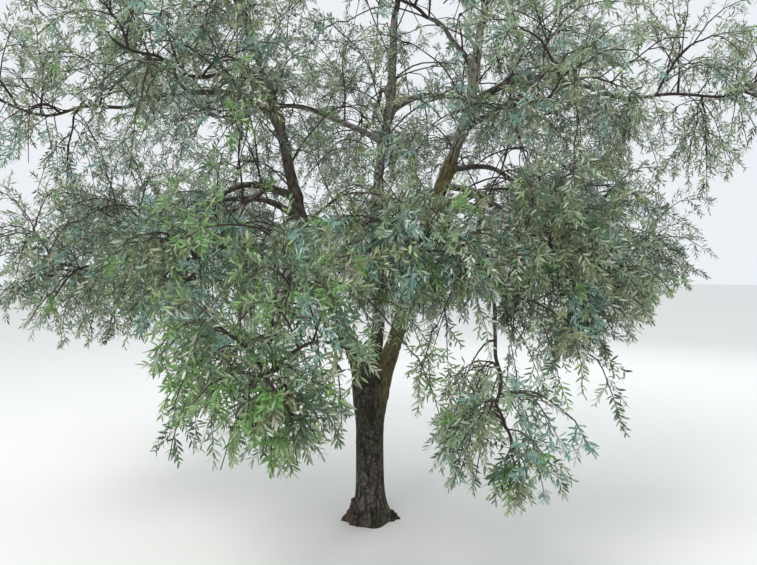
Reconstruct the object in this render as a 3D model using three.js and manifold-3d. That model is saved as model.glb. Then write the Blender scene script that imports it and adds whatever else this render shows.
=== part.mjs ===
// An olive tree grown as an open vase: a short trunk with a flared foot, three main boughs,
// their side limbs, and a crown of arching, hanging masses of foliage.
// Units are millimetres. +Z is up, +Y points away from the viewer, and the origin is the
// centre of the flat cut under the trunk, at ground level.
import * as THREE from "three";
import { mergeVertices } from "three/addons/utils/BufferGeometryUtils.js";
import Module from "manifold-3d";

const wasm = await Module();
wasm.setup();

const TRUNK = {
  height: 985, // ground to the top of the fork
  below: 40, // how far its line starts under the ground, before the flat cut
  bow: -8, // the middle stands a little to the left of the foot
  waist: 86, // radius at mid height
  flare: 30, // growth of the radius at the ground
  flareFade: 85, // height over which the flare dies away
  neck: [24, 10], // growth of the radius under the fork, across and in depth
  neckFrom: 560, // height where the neck starts to widen
  neckTo: 860, // height where it is widest
  crotch: 125, // length over which the top rounds over into the fork
  crown: 0.92, // how far it rounds over: 1 is a full dome
  sides: 18,
  steps: 11,
};

// Swellings round the foot, where the main roots leave it.
const ROOT_LOBES = [
  { angle: 188, size: 68, spread: 24, fade: 62 },
  { angle: -12, size: 60, spread: 20, fade: 70 },
  { angle: 78, size: 36, spread: 26, fade: 80 },
  { angle: 248, size: 26, spread: 22, fade: 60 },
  { angle: 306, size: 34, spread: 24, fade: 66 },
  { angle: 132, size: 30, spread: 22, fade: 75 },
];

// Each limb: the limb that it grows on and how far along it, how its middle bows away from the
// straight line, and its radii at root and tip. Each carries one mass of foliage at its tip:
// the middle of the mass, its half-sizes and its number of twigs.
const LIMBS = [
  { name: "bough_left", on: "trunk", at: 0.76, bow: [-25, 25, 0], radii: [52, 25],
    mass: "top_left", middle: [-880, 60, 3430], half: [660, 600, 480], twigs: 5 },
  { name: "bough_right", on: "trunk", at: 0.76, bow: [72, 25, 0], radii: [54, 26],
    mass: "top_right", middle: [790, 20, 3450], half: [660, 600, 480], twigs: 5 },
  { name: "bough_back", on: "trunk", at: 0.76, bow: [-10, 90, 0], radii: [47, 24],
    mass: "top_middle", middle: [180, 580, 3660], half: [660, 600, 470], twigs: 5 },
  { name: "limb_left_arch", on: "bough_left", at: 0.56, bow: [-20, -60, 150], radii: [25, 11],
    mass: "far_left_low", middle: [-1640, -350, 1620], half: [600, 560, 530], twigs: 6 },
  { name: "limb_left_drop", on: "limb_left_arch", at: 0.22, bow: [-20, 30, 30], radii: [23, 13],
    mass: "left_low", middle: [-830, -930, 1600], half: [520, 460, 500], twigs: 5 },
  { name: "limb_front_left", on: "bough_left", at: 0.4, bow: [-30, -40, 190], radii: [24, 11],
    mass: "front_left_low", middle: [-380, -1780, 1250], half: [460, 420, 460], twigs: 6 },
  { name: "limb_middle", on: "bough_left", at: 0.36, bow: [60, 40, 60], radii: [21, 12],
    mass: "front_middle", middle: [190, -1000, 1700], half: [440, 390, 410], twigs: 5 },
  { name: "limb_far_left", on: "bough_left", at: 0.76, bow: [0, 30, 150], radii: [23, 11],
    mass: "far_left_high", middle: [-2050, -150, 2600], half: [650, 620, 540], twigs: 6 },
  { name: "limb_left_front", on: "bough_left", at: 0.84, bow: [0, -20, 70], radii: [21, 11],
    mass: "left_high", middle: [-1100, -780, 2680], half: [600, 530, 520], twigs: 5 },
  { name: "limb_left_back_low", on: "bough_left", at: 0.5, bow: [-40, 0, 150], radii: [24, 11],
    mass: "left_back_low", middle: [-1700, 800, 1950], half: [600, 580, 520], twigs: 5 },
  { name: "limb_right_low", on: "bough_right", at: 0.58, bow: [40, 0, 70], radii: [22, 11],
    mass: "right_low", middle: [1040, -720, 1560], half: [500, 460, 530], twigs: 5 },
  { name: "limb_front_right", on: "limb_right_low", at: 0.3, bow: [0, -120, 150], radii: [15, 9],
    mass: "front_right_low", middle: [600, -1340, 930], half: [430, 390, 440], twigs: 5 },
  { name: "limb_right_side", on: "bough_right", at: 0.62, bow: [0, 40, 140], radii: [20, 10],
    mass: "far_right_low", middle: [1580, 230, 1740], half: [520, 540, 520], twigs: 5 },
  { name: "limb_right_front", on: "bough_right", at: 0.72, bow: [30, 0, 60], radii: [21, 11],
    mass: "right_high", middle: [940, -900, 2520], half: [540, 490, 530], twigs: 5 },
  { name: "limb_far_right", on: "bough_right", at: 0.8, bow: [0, 0, 130], radii: [23, 11],
    mass: "far_right_high", middle: [2000, -230, 2640], half: [650, 620, 540], twigs: 6 },
  { name: "limb_top_front", on: "bough_right", at: 0.88, bow: [0, 0, 60], radii: [18, 10],
    mass: "top_front", middle: [40, -660, 3200], half: [600, 500, 460], twigs: 5 },
  { name: "limb_right_back_low", on: "bough_right", at: 0.5, bow: [30, 0, 150], radii: [24, 11],
    mass: "right_back_low", middle: [1430, 1220, 1900], half: [600, 580, 520], twigs: 5 },
  { name: "limb_back_left_low", on: "bough_back", at: 0.42, bow: [0, 60, 150], radii: [23, 11],
    mass: "back_left_low", middle: [-830, 1620, 1800], half: [610, 560, 520], twigs: 5 },
  { name: "limb_back_right_low", on: "bough_back", at: 0.5, bow: [0, 0, 170], radii: [23, 11],
    mass: "back_right_low", middle: [480, 1850, 1620], half: [600, 540, 540], twigs: 5 },
  { name: "limb_left_back", on: "bough_back", at: 0.66, bow: [0, 0, 120], radii: [23, 11],
    mass: "left_back_high", middle: [-1430, 1000, 2840], half: [640, 600, 530], twigs: 5 },
  { name: "limb_right_back", on: "bough_back", at: 0.74, bow: [0, 0, 110], radii: [22, 11],
    mass: "right_back_high", middle: [1340, 1020, 2830], half: [640, 600, 530], twigs: 5 },
  { name: "limb_back", on: "bough_back", at: 0.8, bow: [0, 0, 80], radii: [20, 11],
    mass: "back_high", middle: [-80, 1670, 2760], half: [640, 570, 530], twigs: 5 },
];

// How far a limb or twig wanders from its bow, as a share of its length, and how fast on its two sides.
const CROOK = { size: 0.018, across: 9, deep: 7 };
const COLLAR = { size: 0.28, length: 2.4 }; // how a limb thickens at the root, in root radii
const BOUGH_FACES = { sides: 9, steps: 8 }; // faces of the boughs that grow on the trunk
const LIMB_FACES = { sides: 6, steps: 5 }; // faces of the other limbs
const JOINT_GAP = 0.3; // air between two solids that meet
const SPACE_GAP = 12; // air between the spaces of neighbouring masses
const SHORTEST_EDGE = 0.5; // edges under this size are closed up
const LIMB_AIR = 4; // air kept between a limb and any twig or leaf
const TIP_SHARES = [0.9, 0.8, 0.7, 0.6, 0.5, 0.4, 0.3]; // where a limb may end in its mass
const TIP_DEPTH = 3; // how deep in the space it ends at least, in radii of its tip

const STEM = {
  reach: 0.5, // how far it runs on past the middle, as a share of its way there
  bow: 0.175, // how much of the limb's own heading shows in it
  tip: 6.5, // radius at the end
  sides: 4,
  steps: 3,
  places: [0.52], // pairs of blades along it
};
const TWIG = {
  reach: [0.612, 0.748], // least and greatest distance of its tip, as a share of the half-sizes
  turn: 0.6, // how uneven the twigs stand round the middle, in radians
  arch: 0.16, // rise of its middle, as a share of its length
  roots: [0.2, 0.88], // where the first and the last leave the stem
  radii: [8, 6],
  sides: 3,
  steps: 3,
  places: [0.37, 0.7], // pairs of blades along it
};
const LEAF = {
  length: 380, // each blade stands for a leafy spray
  shares: [1, 0.87, 0.75, 0.63], // the lengths tried, as shares of the full one
  width: 0.34, // as a share of the length
  thickness: 0.03, // as a share of the length
  widest: 0.42, // place of the widest point
  angle: 46, // degrees between blade and twig
  droop: 0.35, // pull towards the ground
  level: 0.55, // how far the blades lie level rather than on edge
  roll: 0.5, // how unevenly the pairs stand round the twig, in radians
  sunk: 2, // depth of its root behind the twig's middle
  ridge: 1, // height of the last blade's ridge over the middle of the twig's end
};
const GOLDEN_TURN = Math.PI * (3 - Math.sqrt(5));
const PHASE_STEP = 1.7; // each limb wanders differently from the one before, in radians
const SEED_STEP = 7; // each mass has its own stream of numbers
const UP = new THREE.Vector3(0, 0, 1);

const BARK = { colour: 0x4a463d, roughness: 0.95, metalness: 0 };
const FOLIAGE = { colour: 0x7d8a72, roughness: 0.6, metalness: 0 };

const { degToRad, euclideanModulo, lerp, radToDeg, smoothstep } = THREE.MathUtils;
const vector = (numbers) => new THREE.Vector3(...numbers);

// A repeatable stream of numbers from 0 to 1.
function seeded(seed) {
  let state = seed;
  return () => {
    state = (Math.imul(state, 1664525) + 1013904223) >>> 0;
    return state / 4294967296;
  };
}

// The nearest thing to `wanted` that stands square to `direction`.
function squareTo(direction, wanted) {
  return wanted.clone().addScaledVector(direction, -wanted.dot(direction)).normalize();
}

// A level direction square to `direction`.
function sideOf(direction) {
  const level = UP.clone().cross(direction);
  return level.length() > 0.1 ? level.normalize() : squareTo(direction, new THREE.Vector3(1, 0, 0));
}

// The middle line of a limb or twig: straight from root to tip, then bowed in the middle and
// set wandering in two slow waves.
class GrowthLine extends THREE.Curve {
  constructor(root, tip, bow, phase) {
    super();
    const chord = tip.clone().sub(root);
    this.root = root.clone();
    this.tip = tip.clone();
    this.bow = bow.clone();
    this.phase = phase;
    this.wander = CROOK.size * chord.length();
    this.across = sideOf(chord.normalize());
    this.deep = chord.cross(this.across);
  }

  getPoint(t, target = new THREE.Vector3()) {
    const free = Math.sin(Math.PI * t);
    return target
      .copy(this.root)
      .lerp(this.tip, t)
      .addScaledVector(this.bow, 4 * t * (1 - t))
      .addScaledVector(this.across, this.wander * free * Math.sin(CROOK.across * t + this.phase))
      .addScaledVector(this.deep, this.wander * free * Math.cos(CROOK.deep * t + 2 * this.phase));
  }
}

// The direction square to a line at the given angle round it, counted from `reference`.
function aroundLine(along, reference, angle) {
  const side = squareTo(along, reference);
  const deep = side.clone().cross(along);
  return side.multiplyScalar(Math.cos(angle)).addScaledVector(deep, Math.sin(angle));
}

// A point on the straight stretches that a tube of so many steps makes of its line.
function onTube(line, steps, t) {
  const step = Math.min(Math.floor(t * steps), steps - 1);
  return line.getPoint(step / steps).lerp(line.getPoint((step + 1) / steps), t * steps - step);
}

// The level direction that the corners and blades of a line are counted from.
function referenceOf(line) {
  return sideOf(line.getPoint(1).sub(line.getPoint(0)).normalize());
}

// A closed tube: a cylinder whose rings are laid along a line, with radiusAt(t, angle) at each corner.
function tube(line, radiusAt, sides, steps) {
  const geometry = new THREE.CylinderGeometry(1, 1, 1, sides, steps);
  const place = geometry.attributes.position;
  const reference = referenceOf(line);
  const corner = new THREE.Vector3();
  for (let i = 0; i < place.count; i += 1) {
    corner.fromBufferAttribute(place, i);
    const t = corner.y + 0.5;
    const angle = Math.atan2(corner.z, corner.x);
    const onRim = Math.hypot(corner.x, corner.z) > 0.5;
    const outward = aroundLine(line.getTangent(t), reference, angle);
    const point = line.getPoint(t).addScaledVector(outward, onRim ? radiusAt(t, angle) : 0);
    place.setXYZ(i, point.x, point.y, point.z);
  }
  return geometry;
}

function solidOf(geometry) {
  const bare = geometry.clone();
  bare.deleteAttribute("normal");
  bare.deleteAttribute("uv");
  const merged = mergeVertices(bare, 1e-3);
  return new wasm.Manifold(
    new wasm.Mesh({
      numProp: 3,
      vertProperties: new Float32Array(merged.attributes.position.array),
      triVerts: new Uint32Array(merged.index.array),
    }),
  );
}

// Only the largest piece of a cut or joined solid counts: loose scraps are dropped.
function largestOf(solid) {
  return solid.decompose().sort((a, b) => b.volume() - a.volume())[0];
}

function meshOf(name, solid, look) {
  const { vertProperties, triVerts } = solid.getMesh();
  const geometry = new THREE.BufferGeometry();
  geometry.setAttribute("position", new THREE.BufferAttribute(vertProperties, 3));
  geometry.setIndex(new THREE.BufferAttribute(triVerts, 1));
  geometry.computeVertexNormals();
  const material = new THREE.MeshStandardMaterial({
    color: look.colour,
    roughness: look.roughness,
    metalness: look.metalness,
    flatShading: true,
  });
  const mesh = new THREE.Mesh(geometry, material);
  mesh.name = name;
  return mesh;
}

// The trunk's radius: a waist, a lobed flare at the ground, a neck that widens under the fork,
// and a top that rounds over.
function trunkRadius(t, angle) {
  const height = lerp(-TRUNK.below, TRUNK.height, t);
  const overGround = Math.max(height, 0);
  const [across, deep] = TRUNK.neck;
  const neck = across * Math.cos(angle) ** 2 + deep * Math.sin(angle) ** 2;
  let radius = TRUNK.waist + TRUNK.flare * Math.exp(-overGround / TRUNK.flareFade);
  radius += neck * smoothstep(height, TRUNK.neckFrom, TRUNK.neckTo);
  for (const lobe of ROOT_LOBES) {
    const away = euclideanModulo(radToDeg(angle) - lobe.angle + 180, 360) - 180;
    radius += lobe.size * Math.exp(-((away / lobe.spread) ** 2) - overGround / lobe.fade);
  }
  const over = Math.max(0, (height - TRUNK.height + TRUNK.crotch) / TRUNK.crotch);
  return radius * Math.sqrt(1 - TRUNK.crown * over ** 2);
}

// A limb's radius: an even taper, and a collar at the root. `more` makes it thicker everywhere.
function limbRadius({ line, radii }, more) {
  const length = line.root.distanceTo(line.tip);
  return (t) => {
    const collar = COLLAR.size * radii[0] * Math.exp((-t * length) / (COLLAR.length * radii[0]));
    return lerp(radii[0], radii[1], t) + collar + more;
  };
}

// How deep a point lies in the space of a mass, in millimetres: under 0 it is outside. A space is
// an ellipsoid, cut off by flat borders half way to its neighbours, so it is convex.
function depthInSpace(limb, point) {
  const [x, y, z] = limb.half;
  const away = point.clone().sub(limb.middle);
  const share = Math.hypot(away.x / x, away.y / y, away.z / z);
  let depth = (1 - share) * Math.min(x, y, z);
  for (const other of LIMBS) {
    if (other !== limb) {
      const lead = point.distanceToSquared(other.middle) - other.weight - away.lengthSq() + limb.weight;
      depth = Math.min(depth, lead / (2 * limb.middle.distanceTo(other.middle)) - SPACE_GAP / 2);
    }
  }
  return depth;
}

// Where a limb ends: on the way from its root to the middle of its mass, just inside the space.
function tipOf(limb, root) {
  const back = root.clone().sub(limb.middle);
  const edge = 1 / Math.hypot(back.x / limb.half[0], back.y / limb.half[1], back.z / limb.half[2]);
  const at = (share) => limb.middle.clone().addScaledVector(back, share * edge);
  return at(TIP_SHARES.find((share) => depthInSpace(limb, at(share)) > TIP_DEPTH * limb.radii[1]));
}

// The straight stretches of a limb, each with its widest radius, to keep twigs and leaves off it.
function stretchesOf(line, radiusAt, steps) {
  return Array.from({ length: steps }, (_, i) => ({
    line: new THREE.Line3(line.getPoint(i / steps), line.getPoint((i + 1) / steps)),
    radius: radiusAt(i / steps, 0),
  }));
}

const nearest = [new THREE.Vector3(), new THREE.Vector3()];

function clearOfLimbs(from, to, radius, stretches) {
  const line = new THREE.Line3(from, to);
  return stretches.every(
    (stretch) =>
      Math.sqrt(line.distanceSqToLine3(stretch.line, ...nearest)) > stretch.radius + radius + LIMB_AIR,
  );
}

// The stem of a mass: it carries on from the limb's tip and turns towards the far side.
function stemOf(limb) {
  const heading = limb.line.getTangent(1);
  const root = limb.line.getPoint(1).addScaledVector(heading, JOINT_GAP);
  const onward = limb.middle.clone().sub(root);
  const tip = limb.middle.clone().addScaledVector(onward, STEM.reach);
  const bow = heading.multiplyScalar(onward.length()).sub(onward).multiplyScalar(STEM.bow);
  return new GrowthLine(root, tip, bow, limb.phase);
}

// The middle lines of a mass's twigs. Their tips are spread evenly round the middle of the mass.
// They leave the stem at even distances, those that reach furthest last, arch up and hang over.
function twigLines(limb, stem, random) {
  const start = 2 * Math.PI * random();
  const tips = Array.from({ length: limb.twigs }, (_, i) => {
    const level = 1 - (2 * i + 1) / limb.twigs;
    const turn = start + GOLDEN_TURN * i + TWIG.turn * (random() - 0.5);
    const round = Math.sqrt(1 - level * level);
    const outward = new THREE.Vector3(round * Math.cos(turn), round * Math.sin(turn), level);
    const reach = lerp(...TWIG.reach, random());
    return limb.middle.clone().addScaledVector(outward.multiply(vector(limb.half)), reach);
  });
  const run = stem.tip.clone().sub(stem.root);
  tips.sort((one, other) => one.dot(run) - other.dot(run));
  return tips.map((tip, i) => {
    const root = onTube(stem, STEM.steps, lerp(...TWIG.roots, i / (limb.twigs - 1)));
    const bow = UP.clone().multiplyScalar(TWIG.arch * tip.distanceTo(root));
    return new GrowthLine(root, tip, bow, 2 * Math.PI * random());
  });
}

// A line is kept if it stays in the space of its mass and off every limb.
function lineFits(limb, line, radius, stretches) {
  const points = line.getPoints(6);
  return (
    points.every((point) => depthInSpace(limb, point) > radius) &&
    points.slice(1).every((point, i) => clearOfLimbs(points[i], point, radius, stretches))
  );
}

// A thin pointed blade with a ridge: a tetrahedron with one edge drawn out from root to tip, and
// the edge across it spread as the width, close under the first.
function blade(root, tip, flat) {
  const run = tip.clone().sub(root);
  const length = run.length();
  const along = run.clone().divideScalar(length);
  const thick = squareTo(along, flat);
  const wide = thick.clone().cross(along);
  const geometry = new THREE.TetrahedronGeometry(Math.sqrt(3));
  const place = geometry.attributes.position;
  for (let i = 0; i < place.count; i += 1) {
    const [x, y, z] = [place.getX(i), place.getY(i), place.getZ(i)].map(Math.round);
    const point = root.clone().addScaledVector(run, x + y === 0 ? LEAF.widest : (x + y + 2) / 4);
    point.addScaledVector(wide, ((y - x) / 4) * LEAF.width * length);
    point.addScaledVector(thick, ((z - 1) / 2) * LEAF.thickness * length);
    place.setXYZ(i, point.x, point.y, point.z);
  }
  return solidOf(geometry);
}

// The blade that grows from a point on a twig, as long as the space allows, or nothing. It keeps
// clear of the limbs and of all that is in `others`.
function fittedBlade(limb, from, direction, flat, stretches, others) {
  const root = from.clone().addScaledVector(direction, -LEAF.sunk);
  for (const share of LEAF.shares) {
    const length = share * LEAF.length;
    const tip = from.clone().addScaledVector(direction, length);
    const halfWidth = (LEAF.width * length) / 2;
    const waist = root.clone().lerp(tip, LEAF.widest);
    const inside = depthInSpace(limb, tip) > 0 && depthInSpace(limb, waist) > halfWidth;
    if (inside && clearOfLimbs(root, tip, halfWidth, stretches)) {
      const solid = blade(root, tip, flat);
      if (others.every((other) => other.intersect(solid).isEmpty())) {
        return solid;
      }
    }
  }
  return null;
}

// The blades of one twig: opposite pairs, each pair turned a sixth from the last, and one at the end.
function bladesOn(limb, twig, random, stretches, others) {
  const { line, places, steps } = twig;
  const spread = degToRad(LEAF.angle);
  const reference = referenceOf(line);
  const found = [];
  places.forEach((place, pair) => {
    const from = onTube(line, steps, place);
    const along = line.getTangent(place);
    const roll = (Math.PI / 3) * pair + LEAF.roll * (random() - 0.5);
    const pairOf = [0, Math.PI].map((half) => {
      const side = aroundLine(along, reference, roll + half);
      const direction = along.clone().multiplyScalar(Math.cos(spread));
      direction.addScaledVector(side, Math.sin(spread)).addScaledVector(UP, -LEAF.droop).normalize();
      const turn = 2 * Math.PI * random();
      const flat = new THREE.Vector3(Math.cos(turn), Math.sin(turn), LEAF.level);
      return fittedBlade(limb, from, direction, flat, stretches, [...others, ...found]);
    });
    found.push(...pairOf.filter(Boolean));
  });
  const end = line.getTangent(1).addScaledVector(UP, -LEAF.droop / 2).normalize();
  const from = line.getPoint(1).addScaledVector(UP, LEAF.ridge);
  const last = fittedBlade(limb, from, end, UP, stretches, [...others, ...found]);
  return last ? [...found, last] : found;
}

// The solid of a stem or twig, with what its blades need to know of it.
function woodOf(line, radii, { sides, steps, places }) {
  return { line, steps, places, solid: solidOf(tube(line, (t) => lerp(...radii, t), sides, steps)) };
}

// A mass of foliage: its stem, twigs and blades in one body, cut clear of the limb that carries it.
function massSolid(limb, stretches, seed) {
  const random = seeded(seed);
  const stem = woodOf(stemOf(limb), [limb.radii[1], STEM.tip], STEM);
  const twigs = twigLines(limb, stem.line, random)
    .filter((line) => lineFits(limb, line, TWIG.radii[0], stretches))
    .map((line) => woodOf(line, TWIG.radii, TWIG));
  const wood = [stem, ...twigs];
  const blades = [];
  for (const twig of wood) {
    const others = wood.filter((other) => other !== twig).map((other) => other.solid);
    blades.push(...bladesOn(limb, twig, random, stretches, [...others, ...blades]));
  }
  const whole = wasm.Manifold.union([...wood.map((twig) => twig.solid), ...blades]);
  return largestOf(whole.simplify(SHORTEST_EDGE).subtract(swollen.get(limb.name)));
}

const trunkLine = new GrowthLine(
  new THREE.Vector3(0, 0, -TRUNK.below),
  new THREE.Vector3(0, 0, TRUNK.height),
  new THREE.Vector3(TRUNK.bow, 0, 0),
  0,
);
trunkLine.wander = 0;

// The trunk's solid, cut flat at the ground. `more` makes it thicker everywhere.
function trunkSolid(more) {
  const radiusAt = (t, angle) => trunkRadius(t, angle) + more;
  return solidOf(tube(trunkLine, radiusAt, TRUNK.sides, TRUNK.steps)).trimByPlane([0, 0, 1], 0);
}

// The limbs' lines, root first, so that each limb finds the one it grows on.
const lines = new Map([["trunk", trunkLine]]);
for (const limb of LIMBS) {
  limb.middle = vector(limb.middle);
  limb.weight = ((limb.half[0] + limb.half[1] + limb.half[2]) / 3) ** 2;
}
LIMBS.forEach((limb, i) => {
  const root = lines.get(limb.on).getPoint(limb.at);
  limb.phase = PHASE_STEP * i;
  limb.line = new GrowthLine(root, tipOf(limb, root), vector(limb.bow), limb.phase);
  lines.set(limb.name, limb.line);
});

const tree = new THREE.Group();
tree.add(meshOf("trunk", trunkSolid(0), BARK));

// Each limb is cut back from what it grows on and from earlier limbs on the same one.
const swollen = new Map([["trunk", trunkSolid(JOINT_GAP)]]);
for (const limb of LIMBS) {
  const { sides, steps } = limb.on === "trunk" ? BOUGH_FACES : LIMB_FACES;
  const solidWith = (more) => solidOf(tube(limb.line, limbRadius(limb, more), sides, steps));
  const earlier = LIMBS.filter((other) => other.on === limb.on && swollen.has(other.name));
  let solid = solidWith(0);
  for (const name of [limb.on, ...earlier.map((other) => other.name)]) {
    solid = solid.subtract(swollen.get(name));
  }
  swollen.set(limb.name, solidWith(JOINT_GAP));
  tree.add(meshOf(limb.name, largestOf(solid), BARK));
}

const stretches = [
  ...stretchesOf(trunkLine, () => TRUNK.waist + TRUNK.neck[0], TRUNK.steps),
  ...LIMBS.flatMap((limb) => stretchesOf(limb.line, limbRadius(limb, 0), BOUGH_FACES.steps)),
];
LIMBS.forEach((limb, i) => {
  tree.add(meshOf("foliage_" + limb.mass, massSolid(limb, stretches, SEED_STEP * (i + 1)), FOLIAGE));
});

export default tree;
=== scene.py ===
# Dresses the olive tree: bark with its relief on the trunk and limbs, and twigs and leaves
# grown on from the limbs' tips. Metres, +Z up, +Y away from the viewer, origin at the foot.
import math

import bpy
import numpy as np
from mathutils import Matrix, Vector


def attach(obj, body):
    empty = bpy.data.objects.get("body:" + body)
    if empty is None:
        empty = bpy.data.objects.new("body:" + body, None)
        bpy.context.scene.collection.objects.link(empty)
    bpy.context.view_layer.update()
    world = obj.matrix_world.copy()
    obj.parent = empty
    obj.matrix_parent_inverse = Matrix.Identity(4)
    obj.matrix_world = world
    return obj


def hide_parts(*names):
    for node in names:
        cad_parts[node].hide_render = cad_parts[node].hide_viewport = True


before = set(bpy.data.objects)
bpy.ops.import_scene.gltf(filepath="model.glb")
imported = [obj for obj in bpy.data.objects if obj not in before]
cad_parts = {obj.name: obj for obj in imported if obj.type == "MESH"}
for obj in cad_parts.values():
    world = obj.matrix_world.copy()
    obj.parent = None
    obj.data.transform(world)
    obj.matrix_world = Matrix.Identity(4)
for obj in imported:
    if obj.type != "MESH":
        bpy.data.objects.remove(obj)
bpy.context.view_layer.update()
scene = bpy.context.scene

# Camera, floor and light

studio = {
    "imageWidth": 757,  # the picture's width in pixels
    "focalPixels": 700,  # focal length in those pixels
    "sensorWidth": 36.0,  # millimetres
    "eye": (0.047, -4.36, 1.6),
    "horizonRow": 265,
    "lookDown": 1.43,  # degrees under level
    "floorRadius": 60.0,
    "floorCorners": 96,
    "floorColour": (236, 236, 233),
    "floorRoughness": 0.9,
    "skyColour": (226, 229, 233),
    "skyStrength": 1.12,
    "lamps": {  # place, aim, size, power, colour
        "keyLight": ((-3.5, -6.5, 8.5), (0, 0, 1.8), 5.0, 640, (1.0, 0.99, 0.96)),
        "backLight": ((4.5, 7.0, 7.0), (0, 0, 2.2), 6.0, 200, (0.95, 0.98, 1.0)),
    },
}


def linear(colour):  # an sRGB colour from 0 to 255 as Blender's linear numbers
    c = np.array(colour, float) / 255
    return np.where(c <= 0.04045, c / 12.92, ((c + 0.055) / 1.055) ** 2.4)


def rgba(colour):  # the same with an alpha of 1
    return (*linear(colour), 1.0)


def newMaterial(name, colour, roughness):  # a material of one colour, and its shader node
    material = bpy.data.materials.new(name)
    material.use_nodes = True
    shader = material.node_tree.nodes["Principled BSDF"]
    shader.inputs["Base Color"].default_value = rgba(colour)
    shader.inputs["Roughness"].default_value = roughness
    return material, shader


# Its lens is the sensor's width times the focal length in pixels over the picture's width in pixels.
def addCamera():
    data = bpy.data.cameras.new("camera")
    data.sensor_width = studio["sensorWidth"]
    data.lens = studio["sensorWidth"] * studio["focalPixels"] / studio["imageWidth"]
    camera = bpy.data.objects.new("camera", data)
    camera.location = studio["eye"]
    camera.rotation_euler = (math.radians(90 - studio["lookDown"]), 0, 0)
    scene.collection.objects.link(camera)
    scene.camera = camera


def addFloor():  # a flat disk: its rim stands at radius (cos turn, sin turn)
    turn = np.linspace(0, 2 * np.pi, studio["floorCorners"], endpoint=False)
    rim = np.stack([np.cos(turn), np.sin(turn), 0 * turn], 1) * studio["floorRadius"]
    mesh = bpy.data.meshes.new("floor")
    mesh.from_pydata(rim.tolist(), [], [list(range(len(rim)))])
    mesh.materials.append(newMaterial("floorPaint", studio["floorColour"], studio["floorRoughness"])[0])
    floor = bpy.data.objects.new("floor", mesh)
    scene.collection.objects.link(floor)


def addLamp(name, place, aim, size, power, colour):  # a round lamp at place that shines at aim
    data = bpy.data.lights.new(name, "AREA")
    data.shape = "DISK"
    data.size = size
    data.energy = power
    data.color = colour
    lamp = bpy.data.objects.new(name, data)
    lamp.location = place
    direction = np.array(aim) - np.array(place)
    lamp.rotation_euler = Vector(direction).to_track_quat("-Z", "Y").to_euler()
    scene.collection.objects.link(lamp)


def addLight():  # an even light from all around, and two lamps
    world = bpy.data.worlds.new("sky")
    world.use_nodes = True
    sky = world.node_tree.nodes["Background"]
    sky.inputs["Color"].default_value = rgba(studio["skyColour"])
    sky.inputs["Strength"].default_value = studio["skyStrength"]
    scene.world = world
    for name, lamp in studio["lamps"].items():
        addLamp(name, *lamp)
    scene.view_settings.view_transform = "Standard"


addCamera()
addFloor()
addLight()
print("studio ready")

# The limbs, by the same rule as the solids

trunkSettings = {
    "height": 0.985,  # ground to the top of the fork
    "below": 0.04,  # how far its line starts under the ground
    "bow": -0.008,
    "waist": 0.086,  # radius at mid height
    "flare": 0.03,
    "flareFade": 0.085,
    "neck": (0.024, 0.01),  # growth of the radius under the fork, across and in depth
    "neckFrom": 0.56,
    "neckTo": 0.86,
    "crotch": 0.125,
    "crown": 0.92,
    "rootLobes": (  # angle, size, spread in degrees, fade with height
        (188, 0.068, 24, 0.062), (-12, 0.060, 20, 0.070), (78, 0.036, 26, 0.080),
        (248, 0.026, 22, 0.060), (306, 0.034, 24, 0.066), (132, 0.030, 22, 0.075),
    ),
}

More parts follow.
